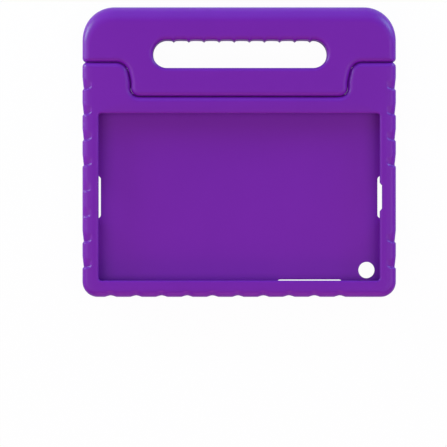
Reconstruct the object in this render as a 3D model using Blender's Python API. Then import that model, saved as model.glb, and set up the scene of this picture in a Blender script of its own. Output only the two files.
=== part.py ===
import math

import bmesh
import bpy
from mathutils import Matrix, Vector

# All driving sizes are in millimetres and the meshes are built in metres.
mm = 0.001

# Pocket for the device, and the walls round it
pocket_width = 245.8
pocket_height = 150.2
pocket_depth = 8.2
pocket_corner = 7.0
side_wall = 10.1
lower_wall = 9.75
upper_wall = 9.8
back_panel = 10.8
front_lip = 5.0
body_corner = 13.0
rim_round = 6.5
rim_back_round = 8.0

# Front window
lip_side = 3.7
lip_end = 4.2
window_corner = 2.5
window_ease = 1.2
sensor_length = 19.6
sensor_relief = 1.9
sensor_slope = 2.3

# Handle and its hinge
throat_depth = 29.5
handle_rise = 47.25
handle_corner = 26.8
shoulder_width = 41.0
throat_lean = 1.9
throat_lean_rise = 9.0
throat_radius = 11.0
floor_corner = 7.5
tongue_corner = 7.0
tongue_side_round = 4.5
tongue_front_round = 4.0
top_front_round = 14.0
top_back_round = 9.0
wing_corner = 3.0
seam_gap = 0.55
cut_gap = 0.45
tip_clearance = 0.5
swing_deg = 112.0

# Hand slot in the handle
slot_margin = 17.7
slot_height = 24.0
slot_lift = 24.0
slot_round = 3.5
slot_shift = 0.6
ridge_pitch = 12.9
ridge_depth = 1.3
ridge_shift = 1.7

# Openings through the walls
port_length = 36.0
port_bite = 5.1
keys_length = 56.0
keys_from_end = 34.9
keys_bite = 4.9
wall_corner = 3.0
lens_from_end = 14.3
lens_from_floor = 12.9
lens_radius = 7.0
lens_flare = 3.0
cut_over = 12.0

# Grip notches around the rim
notch_pitch = 21.6
notch_depth = 1.15
side_notch_start = 22.4
side_notch_stop = 24.0
floor_notch_start = 24.0
floor_notch_stop = 40.0
port_clearance = 0.35

# Hinge pegs
peg_radius = 4.5
peg_length = 36.0
peg_clearance = 0.1
peg_end_clearance = 0.3
peg_shift = 2.0
peg_sides = 32

# Sizes and places that follow from the ones above
case_width = pocket_width + 2 * side_wall
case_thickness = back_panel + pocket_depth + front_lip
case_height = lower_wall + pocket_height + upper_wall + throat_depth + handle_rise
edge_floor_y = -case_height / 2
edge_top_y = case_height / 2
pocket_y = edge_floor_y + lower_wall + pocket_height / 2
pocket_top_z = back_panel + pocket_depth
notch_floor_y = pocket_y + pocket_height / 2 + upper_wall
seam_y = notch_floor_y + throat_depth
tongue_radius = case_thickness / 2
hinge_y = notch_floor_y + tip_clearance + tongue_radius
hinge_z = case_thickness / 2
tongue_half_width = case_width / 2 - shoulder_width
window_width = pocket_width - 2 * lip_side
window_height = pocket_height - 2 * lip_end
slot_width = 2 * (tongue_half_width - slot_margin)
slot_y = hinge_y + slot_lift
ridge_count = int((slot_width - slot_height - 8) / ridge_pitch) + 1
port_low_y = pocket_y - port_length / 2
port_high_y = pocket_y + port_length / 2
peg_centre_x = tongue_half_width + peg_shift

# Heights of the rings that make the rounded edges, as shares of half the thickness
ring_levels = (0.0, 0.3, 0.54, 0.7, 0.82, 0.91, 0.97, 1.0)


def clearScene():
    for old in list(bpy.data.objects):
        bpy.data.objects.remove(old, do_unlink=True)


def makeMaterial(name, colour, roughness):
    made = bpy.data.materials.new(name)
    made.use_nodes = True
    shader = made.node_tree.nodes["Principled BSDF"]
    shader.inputs["Base Color"].default_value = (*colour, 1.0)
    shader.inputs["Roughness"].default_value = roughness
    return made


def addObject(name, bm, material):
    bmesh.ops.recalc_face_normals(bm, faces=bm.faces)
    mesh = bpy.data.meshes.new(name)
    bm.to_mesh(mesh)
    bm.free()
    if material:
        mesh.materials.append(material)
    made = bpy.data.objects.new(name, mesh)
    bpy.context.scene.collection.objects.link(made)
    return made


def hideCutter(cutter):
    cutter.hide_render = True
    cutter.display_type = "WIRE"


def cutFrom(target, cutter, label):
    hideCutter(cutter)
    boolean = target.modifiers.new(label, "BOOLEAN")
    boolean.operation = "DIFFERENCE"
    boolean.solver = "EXACT"
    boolean.object = cutter


def inset(z, front, back, low, high):
    """Distance from the side wall to a quarter-round edge at height z."""
    if z > high - front:
        over = min(z - (high - front), front)
        return front - math.sqrt(max(front * front - over * over, 0.0))
    if z < low + back:
        over = min(low + back - z, back)
        return back - math.sqrt(max(back * back - over * over, 0.0))
    return 0.0


def crossing(p, u, q, v):
    det = u[0] * v[1] - u[1] * v[0]
    t = ((q[0] - p[0]) * v[1] - (q[1] - p[1]) * v[0]) / det
    return (p[0] + u[0] * t, p[1] + u[1] * t)


def outlineAt(z, corners, edges, low, high, fade):
    """Corners are (x, y, radius, steps) counter-clockwise; edges are (front, back, notches)."""
    count = len(corners)
    ways, walls, insets = [], [], []
    for i in range(count):
        ax, ay = corners[i][:2]
        bx, by = corners[(i + 1) % count][:2]
        length = math.hypot(bx - ax, by - ay)
        u = ((bx - ax) / length, (by - ay) / length)
        d = inset(z, edges[i][0], edges[i][1], low, high)
        ways.append(u)
        insets.append(d)
        walls.append((ax - u[1] * d, ay + u[0] * d))
    points = []
    for i in range(count):
        before = (i - 1) % count
        u, v = ways[before], ways[i]
        radius, steps = corners[i][2:]
        turn = math.atan2(u[0] * v[1] - u[1] * v[0], u[0] * v[0] + u[1] * v[1])
        tip = crossing(walls[before], u, walls[i], v)
        if steps == 0:
            points.append(tip)
        else:
            if turn > 0:
                radius = max(radius - min(insets[before], insets[i]), 0.4)
            else:
                radius = radius + min(insets[before], insets[i])
            reach = radius * math.tan(abs(turn) / 2)
            side = 1 if turn > 0 else -1
            start = (tip[0] - u[0] * reach, tip[1] - u[1] * reach)
            centre = (start[0] - u[1] * radius * side, start[1] + u[0] * radius * side)
            for k in range(steps + 1):
                a = turn * k / steps
                rx, ry = start[0] - centre[0], start[1] - centre[1]
                points.append((centre[0] + rx * math.cos(a) - ry * math.sin(a),
                               centre[1] + rx * math.sin(a) + ry * math.cos(a)))
        for along, depth, front_only in edges[i][2]:
            depth = 0.0 if front_only and z < high - rim_round else depth * fade(z)
            points.append((walls[i][0] + v[0] * along - v[1] * depth,
                           walls[i][1] + v[1] * along + v[0] * depth))
    return points


def addRings(bm, loops, heights, flip=False):
    rings = [[bm.verts.new((x * mm, y * mm, z * mm)) for x, y in loop]
             for loop, z in zip(loops, heights)]
    for lower, upper in zip(rings, rings[1:]):
        size = len(lower)
        for i in range(size):
            j = (i + 1) % size
            face = (lower[i], lower[j], upper[j], upper[i])
            bm.faces.new(face[::-1] if flip else face)
    return rings


def loopEdges(bm, ring):
    return [bm.edges.get((ring[i], ring[(i + 1) % len(ring)])) for i in range(len(ring))]


def notchRun(centres, shape, ends=()):
    """Points along an edge for the notches at these (place, front only) centres, a little off the ends."""
    points = []
    for place, front_only in centres:
        for step, depth in shape:
            along = place + step
            for end in ends:
                if abs(along - end) < port_clearance:
                    along = end + math.copysign(port_clearance, along - end)
            points.append((along, depth * notch_depth, front_only))
    return points


def roundHeights(back, front, steps=5):
    lower = [back * (1 - math.sin(math.radians(90 * k / steps))) for k in range(steps, -1, -1)]
    upper = [case_thickness - front * (1 - math.sin(math.radians(90 * k / steps))) for k in range(steps + 1)]
    return lower + upper


def noFade(z):
    return 1.0


def rimFade(z):
    high = 1 - abs(z - case_thickness / 2) / (case_thickness / 2)
    return 0.35 + 0.65 * min(1.0, high * 5)


# The body's outline runs counter-clockwise from its lower left corner.
def bodyCorners():
    half = case_width / 2
    top = seam_y - seam_gap / 2
    inner = tongue_half_width + seam_gap
    slope = throat_lean / throat_lean_rise
    top_x = inner + slope * (top - hinge_y)
    right = [
        (half, top, wing_corner + 1, 3),
        (top_x, top, throat_radius - seam_gap, 6),
        (inner, hinge_y, 0.0, 0),
        (inner, notch_floor_y, floor_corner, 5),
    ]
    left = [(-x, y, r, n) for x, y, r, n in reversed(right)]
    return [(-half, edge_floor_y, body_corner, 6), (half, edge_floor_y, body_corner, 6)] + right + left


def bodyEdges():
    stepped = ((-6.8, 0.0), (-3.4, 0.7), (-0.8, 1.0), (1.0, 0.15), (1.8, 0.0))
    stepped_up = [(-step, depth) for step, depth in reversed(stepped)]
    even = ((-4.3, 0.0), (-2.2, 0.75), (0.0, 1.1), (2.2, 0.75), (4.3, 0.0))
    span = case_width - floor_notch_start - floor_notch_stop
    floor = [(floor_notch_start + notch_pitch * i, False) for i in range(int(span / notch_pitch) + 1)]
    first = seam_y - side_notch_start
    span = first - edge_floor_y - side_notch_stop
    side = [first - notch_pitch * i for i in range(int(span / notch_pitch) + 1)]
    top = seam_y - seam_gap / 2
    left = [(top - y, port_low_y < y < port_high_y) for y in side]
    right = [(y - edge_floor_y, False) for y in reversed(side) if not port_low_y < y < port_high_y]
    left_ends = (top - port_high_y, top - port_low_y)
    right_ends = (port_low_y - edge_floor_y, port_high_y - edge_floor_y)
    seam = (4.0, 1.5, [])
    return [
        (6.0, rim_back_round, notchRun(floor, even)),
        (rim_round, rim_back_round, notchRun(right, stepped_up, right_ends)),
        (4.0, 2.0, []),
        seam,
        seam,
        (rim_round, 1.5, []),
        seam,
        seam,
        (4.0, 2.0, []),
        (rim_round, rim_back_round, notchRun(left, stepped, left_ends)),
    ]


def handleCorners(grow=0.0):
    half = case_width / 2 + grow
    inner = tongue_half_width + grow
    wing = seam_y + seam_gap / 2 - grow
    slope = throat_lean / throat_lean_rise
    wing_x = inner + slope * (wing - hinge_y)
    low = hinge_y - tongue_radius - grow
    right = [
        (inner, low, tongue_corner + grow, 5),
        (inner, hinge_y, 0.0, 0),
        (wing_x, wing, throat_radius - grow, 6),
        (half, wing, wing_corner + grow, 3),
        (half, edge_top_y + grow, handle_corner + grow, 9),
    ]
    left = [(-x, y, r, n) for x, y, r, n in reversed(right)]
    return right + left


def handleEdges(grow=0.0):
    side = [
        (tongue_side_round, tongue_side_round),
        (tongue_side_round, tongue_side_round),
        (4.0, 5.0),
        (rim_round, rim_round),
    ]
    rounds = side + [(top_front_round, top_back_round)] + side[::-1] + [(tongue_front_round, tongue_radius)]
    return [(front + grow, back + grow, []) for front, back in rounds]


def levelHeights(grow=0.0):
    half = case_thickness / 2 + grow
    upper = [hinge_z + half * share for share in ring_levels]
    lower = [hinge_z - half * share for share in reversed(ring_levels[1:])]
    return lower + upper


def slotOutline(spread, ridge):
    """Counter-clockwise loop of the hand slot, its upper edge stepped for the fingers."""
    radius = slot_height / 2
    reach = slot_width / 2 - radius
    points = []
    for k in range(11):
        a = math.radians(-90 + 18 * k)
        points.append((reach + (radius + spread) * math.cos(a), slot_y + (radius + spread) * math.sin(a)))
    span = ridge_pitch * (ridge_count - 1) / 2
    for k in range(ridge_count):
        tip = ridge_shift + span - ridge_pitch * k
        for step, share in ((1.6, 0.3), (0.0, 1.0), (-1.9, 0.35), (-5.6, 0.0)):
            if abs(tip + step) < reach - 0.5:
                points.append((tip + step, slot_y + radius + spread - ridge_depth * share * ridge))
    for k in range(11):
        a = math.radians(90 + 18 * k)
        points.append((-reach + (radius + spread) * math.cos(a), slot_y + (radius + spread) * math.sin(a)))
    return [(x + slot_shift, y) for x, y in points]


def bodyBlank(material):
    bm = bmesh.new()
    heights = roundHeights(rim_back_round, rim_round)
    corners, edges = bodyCorners(), bodyEdges()
    loops = [outlineAt(z, corners, edges, 0.0, case_thickness, rimFade) for z in heights]
    rings = addRings(bm, loops, heights)
    bm.faces.new(rings[0][::-1])
    bm.faces.new(rings[-1])
    bmesh.ops.remove_doubles(bm, verts=bm.verts, dist=2e-6)
    return addObject("case_shell", bm, material)


def handleSolid(grow=0.0, with_slot=True):
    bm = bmesh.new()
    heights = levelHeights(grow)
    low, high = heights[0], heights[-1]
    corners, edges = handleCorners(grow), handleEdges(grow)
    loops = [outlineAt(z, corners, edges, low, high, noFade) for z in heights]
    rings = addRings(bm, loops, heights)
    if not with_slot:
        bm.faces.new(rings[0][::-1])
        bm.faces.new(rings[-1])
    else:
        steps = [slot_round * share for share in (0.0, 0.14, 0.5, 1.0)]
        levels = steps + [high - step for step in reversed(steps)]
        slots = []
        for z in levels:
            spread = inset(z, slot_round, slot_round, low, high)
            slots.append(slotOutline(spread, 1 - 0.7 * spread / slot_round))
        holes = addRings(bm, slots, levels, flip=True)
        for ring, hole in ((rings[0], holes[0]), (rings[-1], holes[-1])):
            bmesh.ops.triangle_fill(bm, use_beauty=True, edges=loopEdges(bm, ring) + loopEdges(bm, hole))
    bmesh.ops.remove_doubles(bm, verts=bm.verts, dist=2e-6)
    return bm


def roundedBlock(x0, x1, y0, y1, heights, radius, spreads, steps=5):
    """A block with rounded upright edges, wider by each of the spreads at the matching height."""
    bm = bmesh.new()
    loops = []
    for spread in spreads:
        loop = []
        for cx, cy, start in ((x1 - radius, y0 + radius, -90), (x1 - radius, y1 - radius, 0),
                              (x0 + radius, y1 - radius, 90), (x0 + radius, y0 + radius, 180)):
            for k in range(steps + 1):
                a = math.radians(start + 90 * k / steps)
                loop.append((cx + (radius + spread) * math.cos(a), cy + (radius + spread) * math.sin(a)))
        loops.append(loop)
    rings = addRings(bm, loops, heights)
    bm.faces.new(rings[0][::-1])
    bm.faces.new(rings[-1])
    return bm


def pocketCutters():
    half_w, half_h = pocket_width / 2, pocket_height / 2
    top = pocket_top_z
    pocket = roundedBlock(-half_w, half_w, pocket_y - half_h, pocket_y + half_h,
                          (back_panel, top), pocket_corner, (0, 0))
    win_w, win_h = window_width / 2, window_height / 2
    high = case_thickness
    window = roundedBlock(-win_w, win_w, pocket_y - win_h, pocket_y + win_h,
                          (top - 1, high - window_ease, high - 0.35 * window_ease, high + 0.2, high + 2),
                          window_corner, (0, 0, 0.35 * window_ease, window_ease, window_ease))
    return addObject("pocket_cutter", pocket, None), addObject("window_cutter", window, None)


def sensorCutter():
    """A shallow bay in the window's right edge, sloped at both ends."""
    bm = bmesh.new()
    near, far = window_width / 2 - 1, window_width / 2 + sensor_relief
    low, high = pocket_y - sensor_length / 2, pocket_y + sensor_length / 2
    loop = [(near, low - sensor_slope - 0.2), (near + 1, low - sensor_slope), (far, low),
            (far, high), (near + 1, high + sensor_slope), (near, high + sensor_slope + 0.2)]
    rings = addRings(bm, [loop, loop], (pocket_top_z - 1, case_thickness + 2))
    bm.faces.new(rings[0][::-1])
    bm.faces.new(rings[-1])
    return addObject("sensor_cutter", bm, None)


def wallCutters():
    far_x, far_y = case_width / 2 + cut_over, edge_floor_y - cut_over
    port_inner_x = pocket_width / 2 - port_bite
    keys_high_x = pocket_width / 2 - keys_from_end
    keys_inner_y = pocket_y - pocket_height / 2 + keys_bite
    heights, spreads = (-2.0, 0.0, 1.2, 3.0, pocket_top_z), (2.4, 1.6, 0.5, 0, 0)
    right = roundedBlock(port_inner_x, far_x, port_low_y, port_high_y, heights, wall_corner, spreads)
    left = roundedBlock(-far_x, -port_inner_x, port_low_y, port_high_y, heights, wall_corner, spreads)
    keys_low_x = keys_high_x - keys_length
    keys = roundedBlock(keys_low_x, keys_high_x, far_y, keys_inner_y, heights, wall_corner, spreads)
    return [addObject(name, bm, None) for name, bm in
            (("right_port_cutter", right), ("left_port_cutter", left), ("keys_cutter", keys))]


def lensCutter():
    bm = bmesh.new()
    lens_x = pocket_width / 2 - lens_from_end
    lens_y = pocket_y - pocket_height / 2 + lens_from_floor
    heights = (-2.0, 0.0, 2.2, 4.6, back_panel + 1)
    radii = [lens_radius + extra for extra in (lens_flare + 0.8, lens_flare, 0.9, 0, 0)]
    loops = [[(lens_x + r * math.cos(math.tau * k / 32), lens_y + r * math.sin(math.tau * k / 32))
              for k in range(32)] for r in radii]
    rings = addRings(bm, loops, heights)
    bm.faces.new(rings[0][::-1])
    bm.faces.new(rings[-1])
    return addObject("lens_cutter", bm, None)


def throatProfile():
    """Half of the handle's lower edge beside the tongue as (x, distance from the hinge), with the gap."""
    corners = handleCorners(cut_gap)
    wing_y = corners[2][1] - hinge_y
    slope_start = corners[1][0]
    slope = throat_lean / throat_lean_rise
    angle = math.atan2(1, slope)
    radius = throat_radius - cut_gap
    reach = radius * math.tan(angle / 2)
    tip_x = corners[2][0]
    start = (tip_x - math.cos(angle) * reach, wing_y - math.sin(angle) * reach)
    centre = (start[0] + math.sin(angle) * radius, start[1] - math.cos(angle) * radius)
    points = [(slope_start, 0.0)]
    for k in range(7):
        a = math.pi / 2 + angle - angle * k / 6
        points.append((centre[0] + radius * math.cos(a), centre[1] + radius * math.sin(a)))
    points.append((case_width / 2 + cut_over, wing_y))
    return points


def sweepCutter():
    """The space that the handle's lower edge passes through on its way back."""
    half = throatProfile()
    far = case_thickness + cut_over
    profile = half + [(half[-1][0], far), (-half[-1][0], far)] + [(-x, r) for x, r in reversed(half)]
    bm = bmesh.new()
    steps = 18
    rings = []
    for k in range(steps + 1):
        a = math.radians(-2 + (swing_deg + 2) * k / steps)
        c, s = math.cos(a), math.sin(a)
        rings.append([bm.verts.new((x * mm, (hinge_y + r * c) * mm, (hinge_z - r * s) * mm))
                      for x, r in profile])
    for lower, upper in zip(rings, rings[1:]):
        for i in range(len(profile)):
            j = (i + 1) % len(profile)
            if i == len(profile) - 1:
                continue
            bm.faces.new((lower[i], lower[j], upper[j], upper[i]))
    bm.faces.new(rings[0])
    bm.faces.new(rings[-1][::-1])
    bmesh.ops.remove_doubles(bm, verts=bm.verts, dist=2e-6)
    return addObject("sweep_cutter", bm, None)


def foldedCutter():
    """The handle, grown by the gap, in its folded place behind the body."""
    bm = handleSolid(grow=cut_gap, with_slot=False)
    hinge = Vector((0, hinge_y * mm, hinge_z * mm))
    swing = Matrix.Rotation(-math.radians(swing_deg), 4, "X")
    turn = Matrix.Translation(hinge) @ swing @ Matrix.Translation(-hinge)
    bmesh.ops.transform(bm, matrix=turn, verts=bm.verts)
    return addObject("folded_cutter", bm, None)


def rodMesh(x_low, x_high, radius):
    bm = bmesh.new()
    turns = [math.tau * (k + 0.5) / peg_sides for k in range(peg_sides)]
    loops = []
    for x in (x_low, x_high):
        loops.append([bm.verts.new((x * mm, (hinge_y + radius * math.cos(a)) * mm,
                                    (hinge_z + radius * math.sin(a)) * mm)) for a in turns])
    for k in range(peg_sides):
        j = (k + 1) % peg_sides
        bm.faces.new((loops[0][k], loops[0][j], loops[1][j], loops[1][k]))
    bm.faces.new(loops[0][::-1])
    bm.faces.new(loops[1])
    return bm


def pegSpan(side, extra=0.0):
    low = peg_centre_x - peg_length / 2 - extra
    high = peg_centre_x + peg_length / 2 + extra
    return (low, high) if side > 0 else (-high, -low)


def caseShell(foam):
    shell = bodyBlank(foam)
    pocket, window = pocketCutters()
    cutFrom(shell, pocket, "pocket")
    cutFrom(shell, window, "window")
    cutFrom(shell, sensorCutter(), "sensor bay")
    cutFrom(shell, sweepCutter(), "handle sweep")
    for side, name in ((1, "right"), (-1, "left")):
        rod = rodMesh(*pegSpan(side, peg_end_clearance), peg_radius + peg_clearance)
        bore = addObject(name + "_body_bore", rod, None)
        cutFrom(shell, bore, name + " bore")
    cutFrom(shell, foldedCutter(), "folded handle")
    for cutter in wallCutters():
        cutFrom(shell, cutter, cutter.name)
    cutFrom(shell, lensCutter(), "lens hole")
    return shell


def carryHandle(foam):
    handle = addObject("carry_handle", handleSolid(), foam)
    for side, name in ((1, "right"), (-1, "left")):
        rod = rodMesh(*pegSpan(side, peg_end_clearance), peg_radius + peg_clearance)
        bore = addObject(name + "_handle_bore", rod, None)
        cutFrom(handle, bore, name + " bore")
    hinge = Vector((0, hinge_y * mm, hinge_z * mm))
    handle.data.transform(Matrix.Translation(-hinge))
    handle.location = hinge
    return handle


def hingePegs(plastic):
    for side, name in ((1, "hinge_peg_right"), (-1, "hinge_peg_left")):
        addObject(name, rodMesh(*pegSpan(side), peg_radius), plastic)


clearScene()
foam_body = makeMaterial("foam_shell", (0.181, 0.021, 0.392), 0.8)
foam_handle = makeMaterial("foam_handle", (0.185, 0.021, 0.386), 0.8)
peg_plastic = makeMaterial("peg_plastic", (0.02, 0.02, 0.022), 0.5)
caseShell(foam_body)
carryHandle(foam_handle)
hingePegs(peg_plastic)
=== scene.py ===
import math

import bmesh
import bpy
from mathutils import Matrix, Vector


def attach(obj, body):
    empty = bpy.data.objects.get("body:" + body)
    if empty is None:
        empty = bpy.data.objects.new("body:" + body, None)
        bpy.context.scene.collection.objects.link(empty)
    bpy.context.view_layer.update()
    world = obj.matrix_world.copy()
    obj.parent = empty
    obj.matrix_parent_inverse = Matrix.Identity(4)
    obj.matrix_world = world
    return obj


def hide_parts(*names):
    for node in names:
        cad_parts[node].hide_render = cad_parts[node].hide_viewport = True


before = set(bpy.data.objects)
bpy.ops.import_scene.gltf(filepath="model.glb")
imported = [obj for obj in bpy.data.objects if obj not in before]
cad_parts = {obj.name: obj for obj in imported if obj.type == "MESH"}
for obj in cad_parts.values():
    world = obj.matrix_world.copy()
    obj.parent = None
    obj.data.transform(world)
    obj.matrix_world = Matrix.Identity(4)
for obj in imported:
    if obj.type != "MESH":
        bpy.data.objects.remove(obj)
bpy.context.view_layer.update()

mm = 0.001

# Sizes that the shell and the handle share, in millimetres
case = {
    "width": 266.0, "height": 246.5, "thickness": 24.0,
    "seamY": 76.0, "seamGap": 0.10, "cutGap": 0.30,
    "hingeY": 59.0, "hingeZ": 12.0, "swing": 112.0,
    "tongueHalf": 92.0, "throatLean": 0.21, "throatRadius": 11.0, "throatSteps": 12,
    "pegX": 94.0, "pegLength": 36.6, "pegRadius": 4.6, "pegSides": 48,
}
halfWidth = case["width"] / 2
halfHeight = case["height"] / 2
thick = case["thickness"]
hinge = Vector((0.0, case["hingeY"], case["hingeZ"])) * mm

# Height that an apron, the nearly flat band inside a rounded edge, still rises in millimetres
apronRise = 0.15
# Radius that a corner keeps however far its walls draw in
leastCorner = 0.4
# Distances in metres at which points become one
weld = {"ring": 2e-6, "cut": 3e-6, "finish": 5e-6, "sliver": 2e-6, "rim": 1e-6}
# Angle in degrees from which an edge is shaded sharp, and the weight of flat faces
shading = {"sharpAngle": 38.0, "flatWeight": 80}


def sideInset(z, front, back, low, high, apron=0.0):
    # How far a rounded edge has drawn in from the side wall at height z
    if apron:
        high -= apronRise
        if z > high:
            return front + apron * (z - high) / apronRise
    if z > high - front:
        over = min(z - high + front, front)
        return front - math.sqrt(max(front * front - over * over, 0.0))
    if z < low + back:
        over = min(low + back - z, back)
        return back - math.sqrt(max(back * back - over * over, 0.0))
    return 0.0


def sideTilt(z, front, back, low, high):
    # How far the surface at height z faces up or down
    if z > high - front:
        return math.asin(min((z - high + front) / front, 1.0))
    if z < low + back:
        return -math.asin(min((low + back - z) / back, 1.0))
    return 0.0


def roundedLevels(back, front, low, high, steps, wall):
    lower = [low + back * (1 - math.sin(math.pi / 2 * k / steps)) for k in range(steps, 0, -1)]
    middle = [low + back + (high - front - low - back) * k / wall for k in range(wall + 1)]
    upper = [high - front * (1 - math.sin(math.pi / 2 * k / steps)) for k in range(1, steps + 1)]
    return lower + middle + upper


def quarterTurn(steps):
    return [math.pi / 2 * k / steps for k in range(steps + 1)]


def circlePoint(x, y, radius, angle):
    return (x + radius * math.cos(angle), y + radius * math.sin(angle))


def flatRing(points, z):
    return [Vector((x, y, z)) * mm for x, y in points]


def meetingPoint(p, u, q, v):
    t = ((q[0] - p[0]) * v[1] - (q[1] - p[1]) * v[0]) / (u[0] * v[1] - u[1] * v[0])
    return (p[0] + u[0] * t, p[1] + u[1] * t)


def cornerArcs(z, corners, edges, low, high):
    # Corners are (x, y, radius, steps), edges (front round, back round, spacing, apron)
    count = len(corners)
    ways, draws, walls, arcs = [], [], [], []
    for i in range(count):
        a, b = corners[i], corners[(i + 1) % count]
        front, back, _, apron = edges[i]
        length = math.hypot(b[0] - a[0], b[1] - a[1])
        u = ((b[0] - a[0]) / length, (b[1] - a[1]) / length)
        d = sideInset(z, front, back, low, high, apron)
        ways.append(u)
        draws.append(d)
        walls.append((a[0] - u[1] * d, a[1] + u[0] * d))
    for i in range(count):
        u, v = ways[i - 1], ways[i]
        radius, steps = corners[i][2:]
        turn = math.atan2(u[0] * v[1] - u[1] * v[0], u[0] * v[0] + u[1] * v[1])
        tip = meetingPoint(walls[i - 1], u, walls[i], v)
        if steps == 0:
            arcs.append([tip])
            continue
        if turn > 0:
            radius = max(radius - min(draws[i - 1], draws[i]), leastCorner)
        else:
            radius += min(draws[i - 1], draws[i])
        reach = radius * math.tan(abs(turn) / 2)
        side = math.copysign(1, turn)
        start = (tip[0] - u[0] * reach, tip[1] - u[1] * reach)
        centre = (start[0] - u[1] * radius * side, start[1] + u[0] * radius * side)
        rx, ry = start[0] - centre[0], start[1] - centre[1]
        arc = []
        for k in range(steps + 1):
            c, s = math.cos(turn * k / steps), math.sin(turn * k / steps)
            arc.append((centre[0] + rx * c - ry * s, centre[1] + rx * s + ry * c))
        arcs.append(arc)
    return ways, walls, arcs


def outlineRings(levels, corners, edges, low, high, grooveDepth=None):
    # One closed ring of points at each level, with the same number of points in each
    traced = [cornerArcs(z, corners, edges, low, high) for z in levels]
    count = len(corners)
    places = []
    for i in range(count):
        v = traced[0][0][i]
        ax, ay = corners[i][:2]
        j = (i + 1) % count
        first = max((arcs[i][-1][0] - ax) * v[0] + (arcs[i][-1][1] - ay) * v[1] for _, _, arcs in traced)
        last = min((arcs[j][0][0] - ax) * v[0] + (arcs[j][0][1] - ay) * v[1] for _, _, arcs in traced)
        spacing = edges[i][2]
        cells = max(int(round((last - first) / spacing)), 1)
        places.append([first + (last - first) * k / cells for k in range(1, cells)])
    rings = []
    for z, (ways, walls, arcs) in zip(levels, traced):
        ring = []
        for i in range(count):
            ring += flatRing(arcs[i], z)
            v = ways[i]
            front, back, _, apron = edges[i]
            draw = sideInset(z, front, back, low, high, apron)
            tilt = sideTilt(z, front, back, low, high - apronRise if apron else high)
            for along in places[i]:
                x, y = walls[i][0] + v[0] * along, walls[i][1] + v[1] * along
                depth = grooveDepth(i, x, y, draw, tilt) if grooveDepth else 0.0
                level = depth * math.cos(tilt)
                ring.append(Vector((x - v[1] * level, y + v[0] * level, z - depth * math.sin(tilt))) * mm)
        rings.append(ring)
    return rings


def wrapRings(bm, rings):
    # A grid rolled into a tube, with one row of it on each ring
    count = len(rings[0])
    grid = bmesh.ops.create_grid(bm, x_segments=count, y_segments=len(rings) - 1, size=1.0)["verts"]
    for k, vert in enumerate(grid):
        row, column = divmod(k, count + 1)
        vert.co = rings[row][column % count]
    bmesh.ops.remove_doubles(bm, verts=grid, dist=weld["ring"])


def closeEnds(bm):
    # Flat caps over the open ends, with the hole left in them where there are two loops
    for wanted in (min, max):
        height = wanted(v.co.z for v in bm.verts)
        rim = [e for e in bm.edges if e.is_boundary
               and all(abs(v.co.z - height) < weld["rim"] for v in e.verts)]
        bmesh.ops.triangle_fill(bm, use_beauty=True, use_dissolve=False, edges=rim)
    bmesh.ops.recalc_face_normals(bm, faces=bm.faces)


def addPiece(name, bm, material=None):
    mesh = bpy.data.meshes.new(name)
    bm.to_mesh(mesh)
    bm.free()
    if material:
        mesh.materials.append(material)
    piece = bpy.data.objects.new(name, mesh)
    bpy.context.scene.collection.objects.link(piece)
    return piece


def addTube(name, rings):
    # A closed cutter wrapped round these rings
    bm = bmesh.new()
    wrapRings(bm, rings)
    closeEnds(bm)
    return addPiece(name, bm)


def cutAway(piece, tool):
    # One cut, applied at once and cleaned of the slivers that it leaves
    boolean = piece.modifiers.new(tool.name, "BOOLEAN")
    boolean.operation = "DIFFERENCE"
    boolean.solver = "EXACT"
    boolean.object = tool
    bpy.context.view_layer.update()
    graph = bpy.context.evaluated_depsgraph_get()
    result = bpy.data.meshes.new_from_object(piece.evaluated_get(graph))
    piece.modifiers.clear()
    old, piece.data = piece.data, result
    bpy.data.meshes.remove(old)
    bpy.data.objects.remove(tool, do_unlink=True)
    bm = bmesh.new()
    bm.from_mesh(piece.data)
    bmesh.ops.remove_doubles(bm, verts=bm.verts, dist=weld["cut"])
    bmesh.ops.dissolve_degenerate(bm, edges=bm.edges, dist=weld["sliver"])
    bm.to_mesh(piece.data)
    bm.free()


def finishFoam(piece):
    # Smooth shading broken only at the cut edges, and flats kept flat
    sharp = math.radians(shading["sharpAngle"])
    bm = bmesh.new()
    bm.from_mesh(piece.data)
    bmesh.ops.remove_doubles(bm, verts=bm.verts, dist=weld["finish"])
    bmesh.ops.dissolve_degenerate(bm, edges=bm.edges, dist=weld["sliver"])
    for face in bm.faces:
        face.smooth = True
    for edge in bm.edges:
        edge.smooth = len(edge.link_faces) == 2 and edge.calc_face_angle(0.0) < sharp
    bm.to_mesh(piece.data)
    bm.free()
    weighted = piece.modifiers.new("flat faces", "WEIGHTED_NORMAL")
    weighted.keep_sharp = True
    weighted.weight = shading["flatWeight"]


# Materials

def newMaterial(name):
    made = bpy.data.materials.new(name)
    made.use_nodes = True
    return made, made.node_tree, made.node_tree.nodes["Principled BSDF"]


def nodeOf(tree, kind, **settings):
    node = tree.nodes.new(kind)
    for key, value in settings.items():
        setattr(node, key, value)
    return node


def setInputs(node, values):
    for key, value in values.items():
        node.inputs[key].default_value = value


foamLook = {
    "base": (0.172, 0.004, 0.368), "pale": (0.186, 0.006, 0.390),
    "patchScale": 28.0, "patchDetail": 3.0, "grainScale": 1300.0, "grainFineness": 2.0,
    "poreScale": 420.0, "poreBlend": 0.6, "poreShare": 0.6,
    "bumpStrength": 0.5, "grainDepth": 0.00004, "rough": (0.37, 0.47), "crossShift": 0.7,
    "specular": 0.38, "sheen": 0.08, "sheenRough": 0.30, "sheenTint": (0.60, 0.80, 1.0),
}


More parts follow.
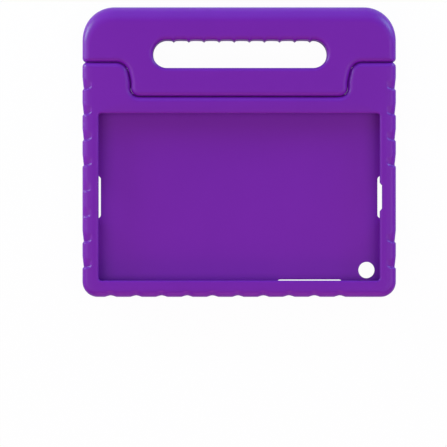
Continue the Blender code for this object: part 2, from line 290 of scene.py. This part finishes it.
def foamMaterial(name, shift=0.0):
    # The shift moves the grain, so that two pieces never share one pattern
    look = foamLook
    made, tree, shader = newMaterial(name)
    setInputs(shader, {
        "Specular IOR Level": look["specular"], "Sheen Weight": look["sheen"],
        "Sheen Roughness": look["sheenRough"], "Sheen Tint": (*look["sheenTint"], 1.0),
    })
    coords = nodeOf(tree, "ShaderNodeTexCoord")
    place = nodeOf(tree, "ShaderNodeMapping")
    place.inputs["Location"].default_value = (shift, shift * look["crossShift"], 0.0)
    tree.links.new(coords.outputs["Object"], place.inputs["Vector"])
    # Slow drift in the colour of the moulded foam
    patches = nodeOf(tree, "ShaderNodeTexNoise")
    setInputs(patches, {"Scale": look["patchScale"], "Detail": look["patchDetail"]})
    tint = nodeOf(tree, "ShaderNodeMix", data_type="RGBA")
    tint.inputs["A"].default_value = (*look["base"], 1.0)
    tint.inputs["B"].default_value = (*look["pale"], 1.0)
    # Fine skin of closed cells
    grain = nodeOf(tree, "ShaderNodeTexNoise")
    setInputs(grain, {"Scale": look["grainScale"], "Detail": look["grainFineness"]})
    pores = nodeOf(tree, "ShaderNodeTexVoronoi", feature="SMOOTH_F1")
    setInputs(pores, {"Scale": look["poreScale"], "Smoothness": look["poreBlend"]})
    skin = nodeOf(tree, "ShaderNodeMath", operation="MULTIPLY_ADD")
    skin.inputs[1].default_value = look["poreShare"]
    bump = nodeOf(tree, "ShaderNodeBump")
    setInputs(bump, {"Strength": look["bumpStrength"], "Distance": look["grainDepth"]})
    rough = nodeOf(tree, "ShaderNodeMapRange")
    setInputs(rough, {"To Min": look["rough"][0], "To Max": look["rough"][1]})
    for node in (patches, grain, pores):
        tree.links.new(place.outputs["Vector"], node.inputs["Vector"])
    tree.links.new(patches.outputs["Fac"], tint.inputs["Factor"])
    tree.links.new(tint.outputs["Result"], shader.inputs["Base Color"])
    tree.links.new(grain.outputs["Fac"], rough.inputs["Value"])
    tree.links.new(rough.outputs["Result"], shader.inputs["Roughness"])
    tree.links.new(pores.outputs["Distance"], skin.inputs[0])
    tree.links.new(grain.outputs["Fac"], skin.inputs[2])
    tree.links.new(skin.outputs["Value"], bump.inputs["Height"])
    tree.links.new(bump.outputs["Normal"], shader.inputs["Normal"])
    return made


pegLook = {
    "base": (0.018, 0.018, 0.020), "noiseScale": 700.0, "rough": (0.38, 0.52),
    "bumpStrength": 0.3, "bumpDepth": 0.00003,
}


def pegMaterial():
    look = pegLook
    made, tree, shader = newMaterial("pegPlasticLook")
    shader.inputs["Base Color"].default_value = (*look["base"], 1.0)
    coords = nodeOf(tree, "ShaderNodeTexCoord")
    noise = nodeOf(tree, "ShaderNodeTexNoise")
    noise.inputs["Scale"].default_value = look["noiseScale"]
    rough = nodeOf(tree, "ShaderNodeMapRange")
    setInputs(rough, {"To Min": look["rough"][0], "To Max": look["rough"][1]})
    bump = nodeOf(tree, "ShaderNodeBump")
    setInputs(bump, {"Strength": look["bumpStrength"], "Distance": look["bumpDepth"]})
    tree.links.new(coords.outputs["Object"], noise.inputs["Vector"])
    tree.links.new(noise.outputs["Fac"], rough.inputs["Value"])
    tree.links.new(noise.outputs["Fac"], bump.inputs["Height"])
    tree.links.new(rough.outputs["Result"], shader.inputs["Roughness"])
    tree.links.new(bump.outputs["Normal"], shader.inputs["Normal"])
    return made


shellFoam = foamMaterial("shellFoamLook")
handleFoam = foamMaterial("handleFoamLook", shift=0.37)

# Carrying handle

handleSizes = {
    "outerCorner": 26.8, "outerSteps": 22, "tongueCorner": 7.0, "tongueSteps": 9,
    "wingCorner": 3.2, "wingSteps": 6, "tongueSide": 4.5, "tongueFront": 4.0,
    "topFront": 14.0, "topBack": 9.0, "side": 6.5, "wingFront": 4.0, "wingBack": 5.0,
    "levels": 15, "spacing": 2.2,
}
slotSizes = {
    "width": 148.0, "height": 24.0, "x": 0.7, "y": 83.0, "round": 3.5, "roundSteps": 7,
    "wallSteps": 4, "endSteps": 40, "lowSteps": 80, "spacing": 0.45,
    "toothShift": 1.6, "toothPitch": 12.9, "teeth": 10, "toothDepth": 1.15, "toothHalf": 1.8,
    "toothPower": 1.15, "toothFade": 0.6, "archDepth": 0.35,
}


def handlePlan(grow=0.0):
    size = handleSizes
    half, inner = halfWidth + grow, case["tongueHalf"] + grow
    wing = case["seamY"] + case["seamGap"] / 2 - grow
    wingX = inner + case["throatLean"] * (wing - case["hingeY"])
    low, top = case["hingeY"] - thick / 2 - grow, halfHeight + grow
    right = [
        (inner, low, size["tongueCorner"] + grow, size["tongueSteps"]),
        (inner, case["hingeY"], 0.0, 0),
        (wingX, wing, case["throatRadius"] - grow, case["throatSteps"]),
        (half, wing, size["wingCorner"] + grow, size["wingSteps"]),
        (half, top, size["outerCorner"] + grow, size["outerSteps"]),
    ]
    corners = right + [(-x, y, r, n) for x, y, r, n in reversed(right)]
    side = [(size["tongueSide"], size["tongueSide"]), (size["tongueSide"], size["tongueSide"]),
            (size["wingFront"], size["wingBack"]), (size["side"], size["side"])]
    rounds = side + [(size["topFront"], size["topBack"])] + side[::-1] + [(size["tongueFront"], thick / 2)]
    edges = [(front + grow, back + grow, size["spacing"], 0.0) for front, back in rounds]
    return corners, edges


def handleRings(grow=0.0):
    corners, edges = handlePlan(grow)
    half = thick / 2 + grow
    steps = handleSizes["levels"]
    levels = [case["hingeZ"] + half * math.sin(math.pi / 2 * k / steps) for k in range(-steps, steps + 1)]
    return outlineRings(levels, corners, edges, levels[0], levels[-1])


def toothDrop(x):
    # How far the upper wall of the slot comes down at x, between and at the finger teeth
    size = slotSizes
    pitch = size["toothPitch"]
    x -= size["toothShift"]
    span = pitch * (size["teeth"] - 1) / 2
    if abs(x) > span + pitch / 2:
        return 0.0
    nearest = min(max(round((x + span) / pitch), 0), size["teeth"] - 1) * pitch - span
    away = abs(x - nearest)
    tooth = max(0.0, 1 - away / size["toothHalf"])
    arch = max(0.0, 1 - away / (pitch / 2))
    return size["toothDepth"] * tooth ** size["toothPower"] + size["archDepth"] * arch * arch


def slotRing(z, spread):
    size = slotSizes
    radius = size["height"] / 2
    reach = size["width"] / 2 - radius
    share = 1 - size["toothFade"] * spread / size["round"]
    cells = int(2 * reach / size["spacing"])
    ends, lows = size["endSteps"], size["lowSteps"]
    right = [circlePoint(reach, size["y"], radius + spread, math.radians(-90 + 180 * k / ends))
             for k in range(1, ends)]
    upper = []
    for k in range(cells + 1):
        x = reach - 2 * reach * k / cells
        upper.append((x, size["y"] + radius + spread - toothDrop(x) * share))
    left = [circlePoint(-reach, size["y"], radius + spread, math.radians(90 + 180 * k / ends))
            for k in range(1, ends)]
    lower = [(-reach + 2 * reach * k / lows, size["y"] - radius - spread) for k in range(lows + 1)]
    return flatRing([(x + size["x"], y) for x, y in right + upper + left + lower], z)


def buildHandle():
    bm = bmesh.new()
    wrapRings(bm, handleRings())
    ease = slotSizes["round"]
    levels = roundedLevels(ease, ease, 0.0, thick, slotSizes["roundSteps"], slotSizes["wallSteps"])
    wrapRings(bm, [slotRing(z, sideInset(z, ease, ease, 0.0, thick)) for z in levels])
    closeEnds(bm)
    piece = addPiece("foamHandle", bm, handleFoam)
    for name, side in (("handleBoreRight", 1), ("handleBoreLeft", -1)):
        cutAway(piece, pegBore(name, side))
    finishFoam(piece)
    return piece


def pegBore(name, side):
    radius = case["pegRadius"] * mm
    bm = bmesh.new()
    bmesh.ops.create_cone(bm, cap_ends=True, segments=case["pegSides"], radius1=radius,
                          radius2=radius, depth=case["pegLength"] * mm)
    centre = Vector((side * case["pegX"] * mm, hinge.y, hinge.z))
    turn = Matrix.Rotation(math.pi / 2, 4, "Y")
    bmesh.ops.transform(bm, verts=bm.verts, matrix=Matrix.Translation(centre) @ turn)
    return addPiece(name, bm)


# Protective shell

shellSizes = {
    "bodyCorner": 13.0, "bodySteps": 14, "shoulderCorner": 4.2, "shoulderSteps": 7,
    "floorCorner": 7.26, "floorSteps": 9, "notchFloorY": 46.85,
    "sideFront": 5.2, "apron": 3.2, "floorFront": 6.0, "back": 8.0, "shoulderFront": 5.0,
    "shoulderBack": 2.0, "notchFront": 5.2, "seamBack": 1.5, "fine": 0.45, "coarse": 2.4,
    "roundSteps": 13, "apronSteps": 7, "wallSteps": 5,
}
# Places of the gripped edges in the shell's plan
gripEdges = {"floor": 0, "right": 1, "left": 9}
gripSizes = {
    "pitch": 21.6, "sideFirst": 52.7, "sideCount": 8, "floorFirst": -109.0, "floorCount": 10,
    "depth": 2.2, "lip": 1.8, "length": 10.5, "shortening": 0.5, "curl": 2.9, "backReach": 7.8,
    "wallShare": 0.53, "fullBy": 0.35, "endPower": 4, "fallPower": 1.1,
    "frontStretch": 1.15, "frontPower": 0.8, "frontShare": 0.75,
    "floorHalf": 5.4, "floorDepth": 1.25, "floorReach": 5.8, "floorPower": 0.8,
}
pocketSizes = {
    "width": 245.8, "height": 150.2, "y": -38.4, "floor": 10.8, "top": 19.0, "corner": 7.0,
    "windowWidth": 238.4, "windowHeight": 141.8, "windowCorner": 2.5, "ease": 1.6, "easeSteps": 6,
    "bayReach": 1.9, "bayHalf": 9.8, "baySlope": 2.3, "bayTaper": 0.2,
}
wallSizes = {
    "portHalf": 18.0, "portInner": 117.8, "keysLow": 32.0, "keysHigh": 88.0, "keysInner": -108.6,
    "corner": 3.0, "flare": 1.8, "flareSteps": 6, "beyond": 12.0,
    "lensX": 108.6, "lensY": -100.6, "lensRadius": 7.0, "lensFlare": 3.0, "lensFlareHeight": 1.5,
    "lensFlareSteps": 8, "lensSides": 64,
}
# How far cutters run past the faces that they open, and the spread of their ends at the back
past = {"inside": 1.0, "front": 2.0, "back": -2.0, "backSpread": 1.2, "lip": -0.3, "lipSpread": 0.5}
blockSteps = 10


def shellPlan():
    size = shellSizes
    top = case["seamY"] - case["seamGap"] / 2
    inner = case["tongueHalf"] + case["seamGap"]
    topX = inner + case["throatLean"] * (top - case["hingeY"])
    right = [
        (halfWidth, top, size["shoulderCorner"], size["shoulderSteps"]),
        (topX, top, case["throatRadius"] - case["seamGap"], case["throatSteps"]),
        (inner, case["hingeY"], 0.0, 0),
        (inner, size["notchFloorY"], size["floorCorner"], size["floorSteps"]),
    ]
    left = [(-x, y, r, n) for x, y, r, n in reversed(right)]
    bottom = [(x, -halfHeight, size["bodyCorner"], size["bodySteps"]) for x in (-halfWidth, halfWidth)]
    floor = (size["floorFront"], size["back"], size["fine"], 0.0)
    grip = (size["sideFront"], size["back"], size["fine"], size["apron"])
    shoulder = (size["shoulderFront"], size["shoulderBack"], size["coarse"], 0.0)
    seam = (size["shoulderFront"], size["seamBack"], size["coarse"], 0.0)
    notch = (size["notchFront"], size["seamBack"], size["coarse"], 0.0)
    edges = [floor, grip, shoulder, seam, seam, notch, seam, seam, shoulder, grip]
    return bottom + right + left, edges


def smoothStep(t):
    t = min(max(t, 0.0), 1.0)
    return t * t * (3 - 2 * t)


def sideGroove(y, draw, tilt, places):
    # A thumb scoop that ends in a small lip below and curls up over the front edge
    grip = gripSizes
    reach = shellSizes["sideFront"] + shellSizes["apron"] if tilt > 0 else grip["backReach"]
    share = min(draw / reach, 1.0)
    inward = share ** grip["endPower"]
    deepest = 0.0
    for place, frontOnly in places:
        above = y - place - (grip["curl"] * inward if tilt > 0 else 0.0)
        if not -grip["lip"] < above < grip["length"]:
            continue
        wall = grip["wallShare"]
        fade = (1 - inward) * (wall + (1 - wall) * smoothStep(share / grip["fullBy"]))
        if frontOnly:
            hump = math.sin(math.pi * min(share * grip["frontStretch"], 1.0))
            fade = hump ** grip["frontPower"] * grip["frontShare"] if tilt > 0 else 0.0
        rise = smoothStep(above / grip["lip"] + 0.5)
        length = grip["length"] * (1 - grip["shortening"] * share)
        fall = max(0.0, 1 - max(above, 0.0) / length) ** grip["fallPower"]
        deepest = max(deepest, grip["depth"] * fade * rise * fall)
    return deepest


def floorGroove(x, draw, tilt, places):
    grip = gripSizes
    reach = grip["floorReach"] if tilt > 0 else grip["backReach"]
    fade = 1 - min(draw / reach, 1.0) ** 2
    nearest = min(abs(x - place) for place in places)
    if nearest >= grip["floorHalf"]:
        return 0.0
    wave = 0.5 + 0.5 * math.cos(math.pi * nearest / grip["floorHalf"])
    return grip["floorDepth"] * fade * wave ** grip["floorPower"]


def shellGroove():
    # Scoops beside a port stay on the front edge at the left and are left out at the right
    grip = gripSizes
    low = pocketSizes["y"] - wallSizes["portHalf"]
    high = pocketSizes["y"] + wallSizes["portHalf"]
    sides = [grip["sideFirst"] - grip["pitch"] * k for k in range(grip["sideCount"])]
    left = [(y, low < y < high) for y in sides]
    right = [(y, False) for y in sides if not low < y < high]
    floor = [grip["floorFirst"] + grip["pitch"] * k for k in range(grip["floorCount"])]

    def depthAt(edge, x, y, draw, tilt):
        if edge == gripEdges["floor"]:
            return floorGroove(x, draw, tilt, floor)
        if edge == gripEdges["right"]:
            return sideGroove(y, draw, tilt, right)
        if edge == gripEdges["left"]:
            return sideGroove(y, draw, tilt, left)
        return 0.0

    return depthAt


def blockCutter(name, x0, x1, y0, y1, levels, radius):
    # A block with round upright edges; levels are (height, extra width)
    left, right, near, far = x0 + radius, x1 - radius, y0 + radius, y1 - radius
    rings = []
    for z, spread in levels:
        points = []
        for cx, cy, start in ((right, near, -90), (right, far, 0), (left, far, 90), (left, near, 180)):
            for k in range(blockSteps + 1):
                angle = math.radians(start + 90 * k / blockSteps)
                points.append(circlePoint(cx, cy, radius + spread, angle))
        rings.append(flatRing(points, z))
    return addTube(name, rings)


def flaredLevels(top, flare, steps):
    # Outer mouth eased with a quarter round of this flare, at the back face
    levels = [(past["back"], flare + past["backSpread"]), (past["lip"], flare + past["lipSpread"])]
    levels += [(flare * (1 - math.cos(a)), flare * (1 - math.sin(a))) for a in quarterTurn(steps)]
    return levels + [(top, 0.0)]


def pocketCutters():
    size = pocketSizes
    y, top, ease, inside = size["y"], size["top"], size["ease"], past["inside"]
    halfW, halfH = size["width"] / 2, size["height"] / 2
    pocket = blockCutter("pocketCutter", -halfW, halfW, y - halfH, y + halfH,
                         [(size["floor"], 0), (top, 0)], size["corner"])
    halfW, halfH = size["windowWidth"] / 2, size["windowHeight"] / 2
    levels = [(top - inside, 0)]
    levels += [(thick - ease + ease * math.sin(a), ease * (1 - math.cos(a)))
               for a in quarterTurn(size["easeSteps"])]
    levels += [(thick + past["front"], ease)]
    window = blockCutter("windowCutter", -halfW, halfW, y - halfH, y + halfH, levels, size["windowCorner"])
    near, far = halfW - inside, halfW + size["bayReach"]
    low, high, slope, taper = y - size["bayHalf"], y + size["bayHalf"], size["baySlope"], size["bayTaper"]
    loop = [(near, low - slope - taper), (near + inside, low - slope), (far, low), (far, high),
            (near + inside, high + slope), (near, high + slope + taper)]
    bay = addTube("bayCutter", [flatRing(loop, z) for z in (top - inside, thick + past["front"])])
    return [pocket, window, bay]


def wallCutters():
    size = wallSizes
    y, half, inner = pocketSizes["y"], size["portHalf"], size["portInner"]
    farX, farY = halfWidth + size["beyond"], -halfHeight - size["beyond"]
    levels = flaredLevels(pocketSizes["top"], size["flare"], size["flareSteps"])
    right = blockCutter("rightPortCutter", inner, farX, y - half, y + half, levels, size["corner"])
    left = blockCutter("leftPortCutter", -farX, -inner, y - half, y + half, levels, size["corner"])
    keys = blockCutter("keysCutter", size["keysLow"], size["keysHigh"], farY, size["keysInner"],
                       levels, size["corner"])
    flare = size["lensFlare"]
    levels = [(past["back"], flare + past["backSpread"])]
    levels += [(flare * size["lensFlareHeight"] * (1 - math.cos(a)), flare * (1 - math.sin(a)))
               for a in quarterTurn(size["lensFlareSteps"])]
    levels += [(pocketSizes["floor"] + past["inside"], 0.0)]
    angles = [math.tau * k / size["lensSides"] for k in range(size["lensSides"])]
    lens = addTube("lensCutter", [
        flatRing([circlePoint(size["lensX"], size["lensY"], size["lensRadius"] + extra, a) for a in angles], z)
        for z, extra in levels])
    return [right, left, keys, lens]


# The turn starts a little before the handle's own and passes its end, in degrees
sweepSizes = {
    "early": 2.3, "extraTurn": 3.1, "steps": 41, "cornerSteps": 12, "radius": 36.0, "beyond": 12.0,
}


def sweepCutter():
    # The space that the handle's lower edge turns through behind the hinge
    size, gap = sweepSizes, case["cutGap"]
    corners = handlePlan(gap)[0]
    (x0, _), (tipX, wing) = corners[1][:2], corners[2][:2]
    wing -= case["hingeY"]
    angle = math.atan2(1, case["throatLean"])
    radius = case["throatRadius"] - gap
    reach = radius * math.tan(angle / 2)
    start = (tipX - math.cos(angle) * reach, wing - math.sin(angle) * reach)
    centre = (start[0] + math.sin(angle) * radius, start[1] - math.cos(angle) * radius)
    steps, farX = size["cornerSteps"], halfWidth + size["beyond"]
    half = [(x0, 0.0)]
    half += [circlePoint(*centre, radius, math.pi / 2 + angle - angle * k / steps) for k in range(steps + 1)]
    half += [(farX, wing), (farX, size["radius"])]
    profile = half + [(-x, r) for x, r in reversed(half)]
    bm = bmesh.new()
    first = math.radians(-size["early"])
    verts = [bm.verts.new((x * mm, hinge.y + r * math.cos(first) * mm, hinge.z - r * math.sin(first) * mm))
             for x, r in profile]
    face = bm.faces.new(verts)
    bmesh.ops.spin(bm, geom=[face], cent=hinge, axis=(-1, 0, 0), steps=size["steps"],
                   angle=math.radians(case["swing"] + size["extraTurn"]),
                   use_merge=False, use_duplicate=False)
    bmesh.ops.remove_doubles(bm, verts=bm.verts, dist=weld["ring"])
    bmesh.ops.recalc_face_normals(bm, faces=bm.faces)
    return addPiece("sweepCutter", bm)


def foldedCutter():
    # The handle, grown by the gap, in its folded place
    bm = bmesh.new()
    wrapRings(bm, handleRings(case["cutGap"]))
    closeEnds(bm)
    swing = Matrix.Rotation(-math.radians(case["swing"]), 4, "X")
    turn = Matrix.Translation(hinge) @ swing @ Matrix.Translation(-hinge)
    bmesh.ops.transform(bm, verts=bm.verts, matrix=turn)
    return addPiece("foldedCutter", bm)


def buildShell():
    size = shellSizes
    corners, edges = shellPlan()
    high = thick - apronRise
    levels = roundedLevels(size["back"], size["sideFront"], 0.0, high, size["roundSteps"], size["wallSteps"])
    levels += [high + apronRise * k / size["apronSteps"] for k in range(1, size["apronSteps"] + 1)]
    bm = bmesh.new()
    wrapRings(bm, outlineRings(levels, corners, edges, 0.0, thick, shellGroove()))
    closeEnds(bm)
    piece = addPiece("foamShell", bm, shellFoam)
    cutters = [sweepCutter(), foldedCutter(), pegBore("shellBoreRight", 1), pegBore("shellBoreLeft", -1)]
    for cutter in cutters + pocketCutters() + wallCutters():
        cutAway(piece, cutter)
    finishFoam(piece)
    return piece


foamHandle = buildHandle()
print("handle", len(foamHandle.data.polygons))
foamShell = buildShell()
print("shell", len(foamShell.data.polygons))

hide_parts("carry_handle")
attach(foamHandle, "handle")
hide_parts("case_shell")
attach(foamShell, "body")

pegPlastic = pegMaterial()
for pegName in ("hinge_peg_right", "hinge_peg_left"):
    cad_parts[pegName].material_slots[0].material = pegPlastic

# Floor, light and camera

stage = {
    "floorSize": 9.0, "floorColour": (0.93, 0.93, 0.94), "floorRough": 0.9, "floorSpecular": 0.1,
    "whiteShare": 0.97, "worldColour": (0.95, 0.96, 1.0), "worldStrength": 0.22,
}


def buildFloor():
    # Pale to the lamps and nearly white to the camera, so that a shadow still shows on it
    bm = bmesh.new()
    bmesh.ops.create_grid(bm, x_segments=1, y_segments=1, size=stage["floorSize"] / 2)
    made, tree, shader = newMaterial("paleFloor")
    setInputs(shader, {
        "Base Color": (*stage["floorColour"], 1.0), "Roughness": stage["floorRough"],
        "Specular IOR Level": stage["floorSpecular"],
    })
    glow = nodeOf(tree, "ShaderNodeEmission")
    path = nodeOf(tree, "ShaderNodeLightPath")
    seen = nodeOf(tree, "ShaderNodeMath", operation="ADD", use_clamp=True)
    share = nodeOf(tree, "ShaderNodeMath", operation="MULTIPLY")
    share.inputs[1].default_value = stage["whiteShare"]
    mix = nodeOf(tree, "ShaderNodeMixShader")
    tree.links.new(path.outputs["Is Camera Ray"], seen.inputs[0])
    tree.links.new(path.outputs["Is Transmission Ray"], seen.inputs[1])
    tree.links.new(seen.outputs["Value"], share.inputs[0])
    tree.links.new(share.outputs["Value"], mix.inputs["Fac"])
    tree.links.new(shader.outputs["BSDF"], mix.inputs[1])
    tree.links.new(glow.outputs["Emission"], mix.inputs[2])
    tree.links.new(mix.outputs["Shader"], tree.nodes["Material Output"].inputs["Surface"])
    floor = addPiece("paleFloor", bm, made)


def buildWorld():
    world = bpy.data.worlds.new("studio")
    bpy.context.scene.world = world
    world.use_nodes = True
    tree = world.node_tree
    soft = tree.nodes["Background"]
    setInputs(soft, {"Color": (*stage["worldColour"], 1.0), "Strength": stage["worldStrength"]})
    white = nodeOf(tree, "ShaderNodeBackground")
    white.inputs["Color"].default_value = (1.0, 1.0, 1.0, 1.0)
    path = nodeOf(tree, "ShaderNodeLightPath")
    mix = nodeOf(tree, "ShaderNodeMixShader")
    tree.links.new(path.outputs["Is Camera Ray"], mix.inputs["Fac"])
    tree.links.new(soft.outputs["Background"], mix.inputs[1])
    tree.links.new(white.outputs["Background"], mix.inputs[2])
    tree.links.new(mix.outputs["Shader"], tree.nodes["World Output"].inputs["Surface"])


# Each lamp is (place, diameter, watts, colour) and points at the middle of the case
lamps = {
    "topLight": ((-0.20, 1.68, 0.98), 1.7, 9.6, (0.24, 0.54, 1.0)),
    "frontLeftLight": ((-1.20, -0.25, 1.75), 1.6, 12.8, (1.0, 0.80, 0.92)),
    "frontRightLight": ((1.20, -0.25, 1.75), 1.6, 13.6, (0.98, 0.82, 0.98)),
    "lowLight": ((0.05, -1.75, 0.90), 1.0, 9.8, (1.0, 0.32, 0.70)),
    "leftLight": ((-0.94, 0.48, 0.17), 0.50, 9.8, (0.62, 1.0, 0.78)),
    "rightLight": ((0.96, 0.80, 0.24), 0.50, 7.6, (0.44, 0.90, 1.0)),
}


def softLight(name, place, diameter, watts, colour):
    data = bpy.data.lights.new(name, "AREA")
    data.shape = "DISK"
    data.size = diameter
    data.energy = watts
    data.color = colour
    lamp = bpy.data.objects.new(name, data)
    lamp.location = place
    lamp.rotation_euler = (-Vector(place)).to_track_quat("-Z", "Y").to_euler()
    bpy.context.scene.collection.objects.link(lamp)


buildFloor()
buildWorld()
for lampName, lampSettings in lamps.items():
    softLight(lampName, *lampSettings)

view = {
    "x": -13.3, "y": -60.9, "away": 2200.0, "acrossView": 380.0, "focusHeight": 15.0,
    "sensor": 36.0, "clipEnd": 20.0,
}
cameraData = bpy.data.cameras.new("mainView")
cameraData.sensor_width = view["sensor"]
cameraData.lens = view["sensor"] * view["away"] / view["acrossView"]
cameraData.clip_end = view["clipEnd"]
camera = bpy.data.objects.new("mainView", cameraData)
camera.location = Vector((view["x"], view["y"], view["away"] + view["focusHeight"])) * mm
bpy.context.scene.collection.objects.link(camera)
bpy.context.scene.camera = camera
bpy.context.scene.view_settings.view_transform = "Standard"
print("stage ready")
